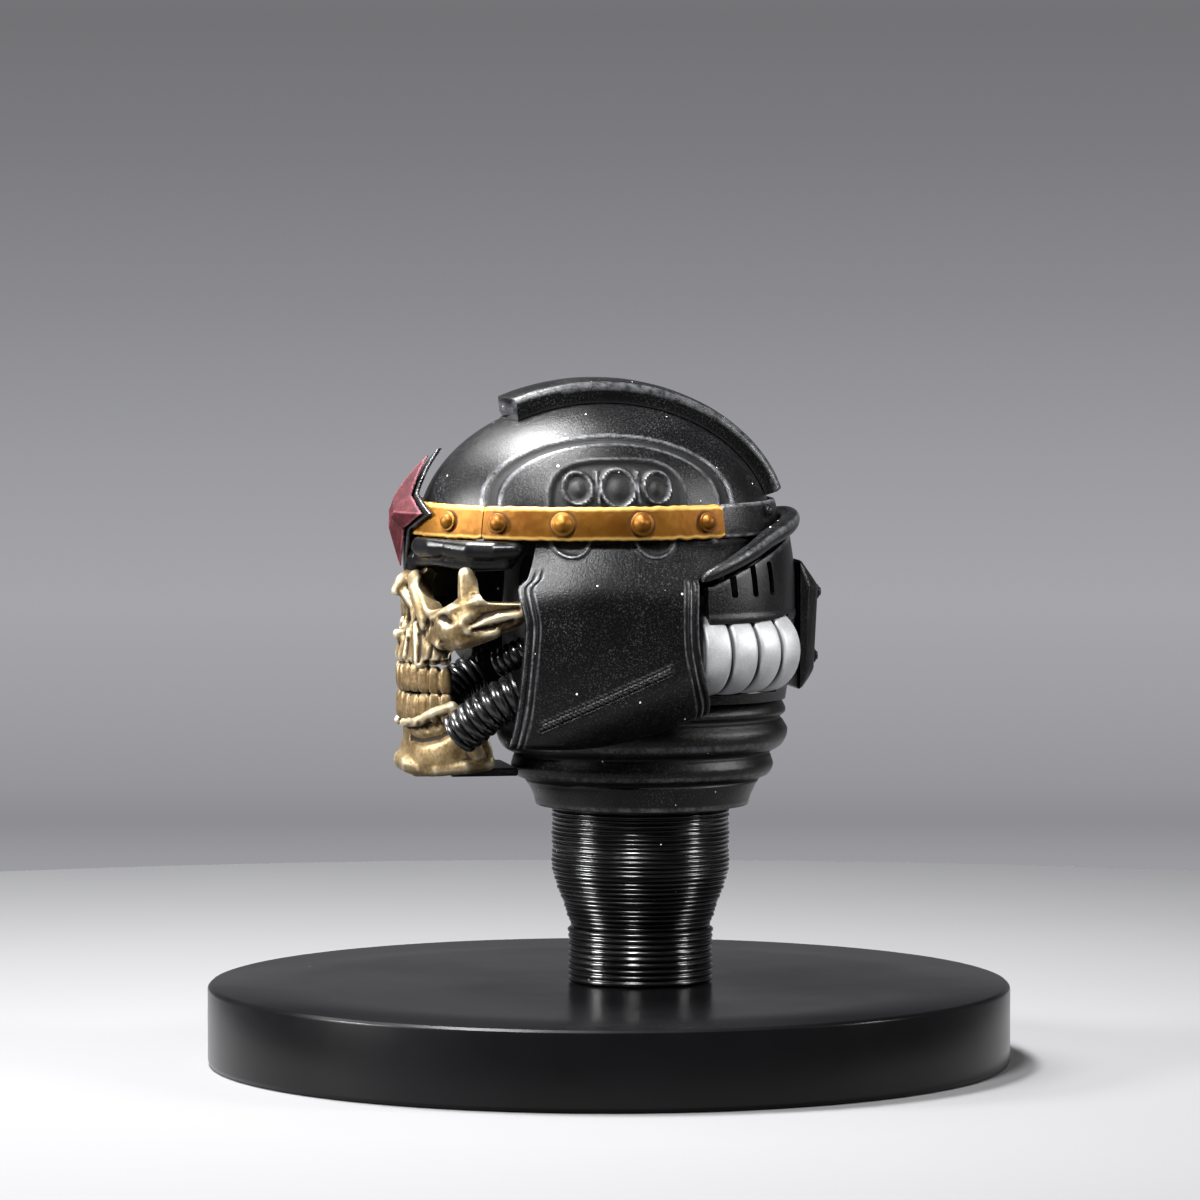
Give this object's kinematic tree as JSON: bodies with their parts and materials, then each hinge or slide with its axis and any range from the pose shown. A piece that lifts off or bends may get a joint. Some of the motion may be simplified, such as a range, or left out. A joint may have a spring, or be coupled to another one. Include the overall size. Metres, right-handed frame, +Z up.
{
  "type": "miniature costume helmet on display stand",
  "caption": "Hollow costume helmet with comb, riveted brow band, skull face mask, breathing hoses and ribbed canisters, held on a turned post over a round base.",
  "frame": {"origin": "centre of the round base's underside", "axes": "+Z up, the helmet's face towards -Y, its wearer's left side towards +X"},
  "size_m": [0.1, 0.1, 0.0854],
  "materials": {
    "black_acrylic": "black acrylic, satin edge and top",
    "black_post": "glossy black, fine turned ribs",
    "black_shell": "black paint with a fine metallic grain, light worn edges",
    "black_gloss": "glossy black paint",
    "gold_paint": "warm gold paint, satin",
    "old_gold": "aged gold paint with dark wash in the hollows",
    "silver_paint": "matt silver-white paint",
    "red_paint": "dusty dark red, pale dry brushing on the edges"
  },
  "bodies": {
    "root": {"stand_base": "black_acrylic", "stand_post": "black_post", "bowl": "black_shell", "comb": "black_shell", "band_front": "gold_paint", "band_left": "gold_paint", "band_right": "gold_paint", "band_rear": "black_shell", "rivet_left_1": "gold_paint", "rivet_left_2": "gold_paint", "rivet_left_3": "gold_paint", "rivet_left_4": "gold_paint", "rivet_left_5": "gold_paint", "rivet_right_1": "gold_paint", "rivet_right_2": "gold_paint", "rivet_right_3": "gold_paint", "rivet_right_4": "gold_paint", "rivet_right_5": "gold_paint", "rivet_rear_left": "black_shell", "rivet_rear_right": "black_shell", "cheek_plate_left": "black_shell", "cheek_plate_right": "black_shell", "nape_lip": "black_shell", "nape_panel": "black_shell", "nape_block": "black_shell", "block_stud_upper": "black_shell", "block_stud_lower": "black_shell", "canister_left": "silver_paint", "canister_right": "silver_paint", "neck_collar": "black_shell", "skull_mask": "old_gold", "teeth_upper": "old_gold", "teeth_lower": "old_gold", "skull_jaw": "old_gold", "brow_ridge": "black_gloss", "throat_plate": "black_shell", "mask_liner": "black_shell", "lower_hose_left": "black_gloss", "lower_hose_right": "black_gloss", "upper_hose_left": "black_gloss", "upper_hose_right": "black_gloss", "badge_backing": "black_gloss", "badge_star": "red_paint"}
  },
  "joints": []
}
